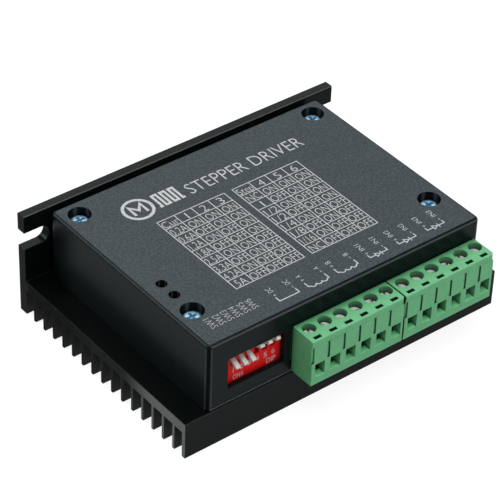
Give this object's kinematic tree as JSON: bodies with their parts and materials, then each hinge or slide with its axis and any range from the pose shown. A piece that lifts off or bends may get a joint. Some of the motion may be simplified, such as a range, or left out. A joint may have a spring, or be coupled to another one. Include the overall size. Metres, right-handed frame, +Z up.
{
  "type": "stepper motor driver module",
  "caption": "Stepper driver module with finned heat sink and notched mounting flange, moulded cover, plug-in screw terminals and piano-type setting switches.",
  "frame": {"origin": "bottom centre of the overall box, in the plane of the fin tips", "axes": "+X along the fins, to the right as the terminals are faced; -Y towards the wiring side; +Y through the mounting flange; +Z up from the fins to the cover"},
  "size_m": [0.1046, 0.0812, 0.0325],
  "materials": {
    "black_anodised": "black anodised extrusion, sawn ends",
    "black_moulding": "fine textured top, smooth sides",
    "blue_zinc": "blue-passivated zinc plate",
    "terminal_steel": "bright zinc plate",
    "tinned_metal": "tinned",
    "green_moulding": "fine satin moulding",
    "red_moulding": "smooth satin",
    "white_moulding": "smooth satin",
    "white_nylon": "plain nylon",
    "board_green": "solder mask over glass laminate",
    "chip_black": "moulding compound",
    "ceramic_tan": "fired ceramic with plain ends",
    "can_sleeve": "shrink sleeve over an aluminium can",
    "grey_pad": "filled silicone sheet",
    "lamp_red": "clear red resin"
  },
  "bodies": {
    "module": {"heat_sink": "black_anodised", "cover": "black_moulding", "switch_body": "red_moulding", "header_left": "green_moulding", "header_right": "green_moulding", "cover_screws": "blue_zinc", "board_spacers": "white_nylon", "circuit_board": "board_green", "driver_chip": "chip_black", "driver_chip_leads": "tinned_metal", "thermal_pad": "grey_pad", "chip_screws": "blue_zinc", "bulk_capacitors": "can_sleeve", "optocouplers": "chip_black", "voltage_regulator": "chip_black", "sense_resistors": "chip_black", "logic_chip": "chip_black", "chip_resistors": "chip_black", "ceramic_capacitors": "ceramic_tan", "lamp_legs": "tinned_metal", "switch_pins": "tinned_metal", "header_pins_left": "tinned_metal", "header_pins_right": "tinned_metal", "power_lamp": "lamp_red", "alarm_lamp": "lamp_red"},
    "plug_left": {"plug_housing_left": "green_moulding", "plug_contacts_left": "tinned_metal"},
    "plug_right": {"plug_housing_right": "green_moulding", "plug_contacts_right": "tinned_metal"},
    "screw_01": {"terminal_screw_01": "terminal_steel"},
    "clamp_01": {"wire_clamp_01": "tinned_metal"},
    "screw_02": {"terminal_screw_02": "terminal_steel"},
    "clamp_02": {"wire_clamp_02": "tinned_metal"},
    "screw_03": {"terminal_screw_03": "terminal_steel"},
    "clamp_03": {"wire_clamp_03": "tinned_metal"},
    "screw_04": {"terminal_screw_04": "terminal_steel"},
    "clamp_04": {"wire_clamp_04": "tinned_metal"},
    "screw_05": {"terminal_screw_05": "terminal_steel"},
    "clamp_05": {"wire_clamp_05": "tinned_metal"},
    "screw_06": {"terminal_screw_06": "terminal_steel"},
    "clamp_06": {"wire_clamp_06": "tinned_metal"},
    "screw_07": {"terminal_screw_07": "terminal_steel"},
    "clamp_07": {"wire_clamp_07": "tinned_metal"},
    "screw_08": {"terminal_screw_08": "terminal_steel"},
    "clamp_08": {"wire_clamp_08": "tinned_metal"},
    "screw_09": {"terminal_screw_09": "terminal_steel"},
    "clamp_09": {"wire_clamp_09": "tinned_metal"},
    "screw_10": {"terminal_screw_10": "terminal_steel"},
    "clamp_10": {"wire_clamp_10": "tinned_metal"},
    "screw_11": {"terminal_screw_11": "terminal_steel"},
    "clamp_11": {"wire_clamp_11": "tinned_metal"},
    "screw_12": {"terminal_screw_12": "terminal_steel"},
    "clamp_12": {"wire_clamp_12": "tinned_metal"},
    "lever_1": {"switch_lever_1": "white_moulding"},
    "lever_2": {"switch_lever_2": "white_moulding"},
    "lever_3": {"switch_lever_3": "white_moulding"},
    "lever_4": {"switch_lever_4": "white_moulding"},
    "lever_5": {"switch_lever_5": "white_moulding"},
    "lever_6": {"switch_lever_6": "white_moulding"}
  },
  "joints": [
    {"name": "plug_left_pull", "type": "slide", "parent": "module", "child": "plug_left", "axis": [0, -1, 0], "range_m": [0, 0.012]},
    {"name": "plug_right_pull", "type": "slide", "parent": "module", "child": "plug_right", "axis": [0, -1, 0], "range_m": [0, 0.012]},
    {"name": "terminal_screw_01_turn", "type": "hinge", "parent": "plug_left", "child": "screw_01", "pos_m": [-0.01551, -0.0354, 0.023], "axis": [0, 0, 1], "range_deg": [-1980, 0]},
    {"name": "wire_clamp_01_rise", "type": "slide", "parent": "plug_left", "child": "clamp_01", "axis": [0, 0, 1], "range_m": [0, 0.00275]},
    {"name": "terminal_screw_02_turn", "type": "hinge", "parent": "plug_left", "child": "screw_02", "pos_m": [-0.01043, -0.0354, 0.023], "axis": [0, 0, 1], "range_deg": [-1980, 0]},
    {"name": "wire_clamp_02_rise", "type": "slide", "parent": "plug_left", "child": "clamp_02", "axis": [0, 0, 1], "range_m": [0, 0.00275]},
    {"name": "terminal_screw_03_turn", "type": "hinge", "parent": "plug_left", "child": "screw_03", "pos_m": [-0.00535, -0.0354, 0.023], "axis": [0, 0, 1], "range_deg": [-1980, 0]},
    {"name": "wire_clamp_03_rise", "type": "slide", "parent": "plug_left", "child": "clamp_03", "axis": [0, 0, 1], "range_m": [0, 0.00275]},
    {"name": "terminal_screw_04_turn", "type": "hinge", "parent": "plug_left", "child": "screw_04", "pos_m": [-0.00027, -0.0354, 0.023], "axis": [0, 0, 1], "range_deg": [-1980, 0]},
    {"name": "wire_clamp_04_rise", "type": "slide", "parent": "plug_left", "child": "clamp_04", "axis": [0, 0, 1], "range_m": [0, 0.00275]},
    {"name": "terminal_screw_05_turn", "type": "hinge", "parent": "plug_left", "child": "screw_05", "pos_m": [0.00481, -0.0354, 0.023], "axis": [0, 0, 1], "range_deg": [-1980, 0]},
    {"name": "wire_clamp_05_rise", "type": "slide", "parent": "plug_left", "child": "clamp_05", "axis": [0, 0, 1], "range_m": [0, 0.00275]},
    {"name": "terminal_screw_06_turn", "type": "hinge", "parent": "plug_left", "child": "screw_06", "pos_m": [0.00989, -0.0354, 0.023], "axis": [0, 0, 1], "range_deg": [-1980, 0]},
    {"name": "wire_clamp_06_rise", "type": "slide", "parent": "plug_left", "child": "clamp_06", "axis": [0, 0, 1], "range_m": [0, 0.00275]},
    {"name": "terminal_screw_07_turn", "type": "hinge", "parent": "plug_right", "child": "screw_07", "pos_m": [0.01545, -0.0354, 0.023], "axis": [0, 0, 1], "range_deg": [-1980, 0]},
    {"name": "wire_clamp_07_rise", "type": "slide", "parent": "plug_right", "child": "clamp_07", "axis": [0, 0, 1], "range_m": [0, 0.00275]},
    {"name": "terminal_screw_08_turn", "type": "hinge", "parent": "plug_right", "child": "screw_08", "pos_m": [0.02053, -0.0354, 0.023], "axis": [0, 0, 1], "range_deg": [-1980, 0]},
    {"name": "wire_clamp_08_rise", "type": "slide", "parent": "plug_right", "child": "clamp_08", "axis": [0, 0, 1], "range_m": [0, 0.00275]},
    {"name": "terminal_screw_09_turn", "type": "hinge", "parent": "plug_right", "child": "screw_09", "pos_m": [0.02561, -0.0354, 0.023], "axis": [0, 0, 1], "range_deg": [-1980, 0]},
    {"name": "wire_clamp_09_rise", "type": "slide", "parent": "plug_right", "child": "clamp_09", "axis": [0, 0, 1], "range_m": [0, 0.00275]},
    {"name": "terminal_screw_10_turn", "type": "hinge", "parent": "plug_right", "child": "screw_10", "pos_m": [0.03069, -0.0354, 0.023], "axis": [0, 0, 1], "range_deg": [-1980, 0]},
    {"name": "wire_clamp_10_rise", "type": "slide", "parent": "plug_right", "child": "clamp_10", "axis": [0, 0, 1], "range_m": [0, 0.00275]},
    {"name": "terminal_screw_11_turn", "type": "hinge", "parent": "plug_right", "child": "screw_11", "pos_m": [0.03577, -0.0354, 0.023], "axis": [0, 0, 1], "range_deg": [-1980, 0]},
    {"name": "wire_clamp_11_rise", "type": "slide", "parent": "plug_right", "child": "clamp_11", "axis": [0, 0, 1], "range_m": [0, 0.00275]},
    {"name": "terminal_screw_12_turn", "type": "hinge", "parent": "plug_right", "child": "screw_12", "pos_m": [0.04085, -0.0354, 0.023], "axis": [0, 0, 1], "range_deg": [-1980, 0]},
    {"name": "wire_clamp_12_rise", "type": "slide", "parent": "plug_right", "child": "clamp_12", "axis": [0, 0, 1], "range_m": [0, 0.00275]},
    {"name": "switch_lever_1_flip", "type": "hinge", "parent": "module", "child": "lever_1", "pos_m": [-0.036, -0.0294, 0.02345], "axis": [1, 0, 0], "range_deg": [-50, 0]},
    {"name": "switch_lever_2_flip", "type": "hinge", "parent": "module", "child": "lever_2", "pos_m": [-0.03346, -0.0294, 0.02345], "axis": [1, 0, 0], "range_deg": [-50, 0]},
    {"name": "switch_lever_3_flip", "type": "hinge", "parent": "module", "child": "lever_3", "pos_m": [-0.03092, -0.0294, 0.02345], "axis": [1, 0, 0], "range_deg": [-50, 0]},
    {"name": "switch_lever_4_flip", "type": "hinge", "parent": "module", "child": "lever_4", "pos_m": [-0.02838, -0.0294, 0.02345], "axis": [1, 0, 0], "range_deg": [0, 50]},
    {"name": "switch_lever_5_flip", "type": "hinge", "parent": "module", "child": "lever_5", "pos_m": [-0.02584, -0.0294, 0.02345], "axis": [1, 0, 0], "range_deg": [0, 50]},
    {"name": "switch_lever_6_flip", "type": "hinge", "parent": "module", "child": "lever_6", "pos_m": [-0.0233, -0.0294, 0.02345], "axis": [1, 0, 0], "range_deg": [0, 50]}
  ],
  "couplings": [
    {"joint": "terminal_screw_01_turn", "follows": "wire_clamp_01_rise", "rad_per_m": -12566},
    {"joint": "terminal_screw_02_turn", "follows": "wire_clamp_02_rise", "rad_per_m": -12566},
    {"joint": "terminal_screw_03_turn", "follows": "wire_clamp_03_rise", "rad_per_m": -12566},
    {"joint": "terminal_screw_04_turn", "follows": "wire_clamp_04_rise", "rad_per_m": -12566},
    {"joint": "terminal_screw_05_turn", "follows": "wire_clamp_05_rise", "rad_per_m": -12566},
    {"joint": "terminal_screw_06_turn", "follows": "wire_clamp_06_rise", "rad_per_m": -12566},
    {"joint": "terminal_screw_07_turn", "follows": "wire_clamp_07_rise", "rad_per_m": -12566},
    {"joint": "terminal_screw_08_turn", "follows": "wire_clamp_08_rise", "rad_per_m": -12566},
    {"joint": "terminal_screw_09_turn", "follows": "wire_clamp_09_rise", "rad_per_m": -12566},
    {"joint": "terminal_screw_10_turn", "follows": "wire_clamp_10_rise", "rad_per_m": -12566},
    {"joint": "terminal_screw_11_turn", "follows": "wire_clamp_11_rise", "rad_per_m": -12566},
    {"joint": "terminal_screw_12_turn", "follows": "wire_clamp_12_rise", "rad_per_m": -12566}
  ]
}
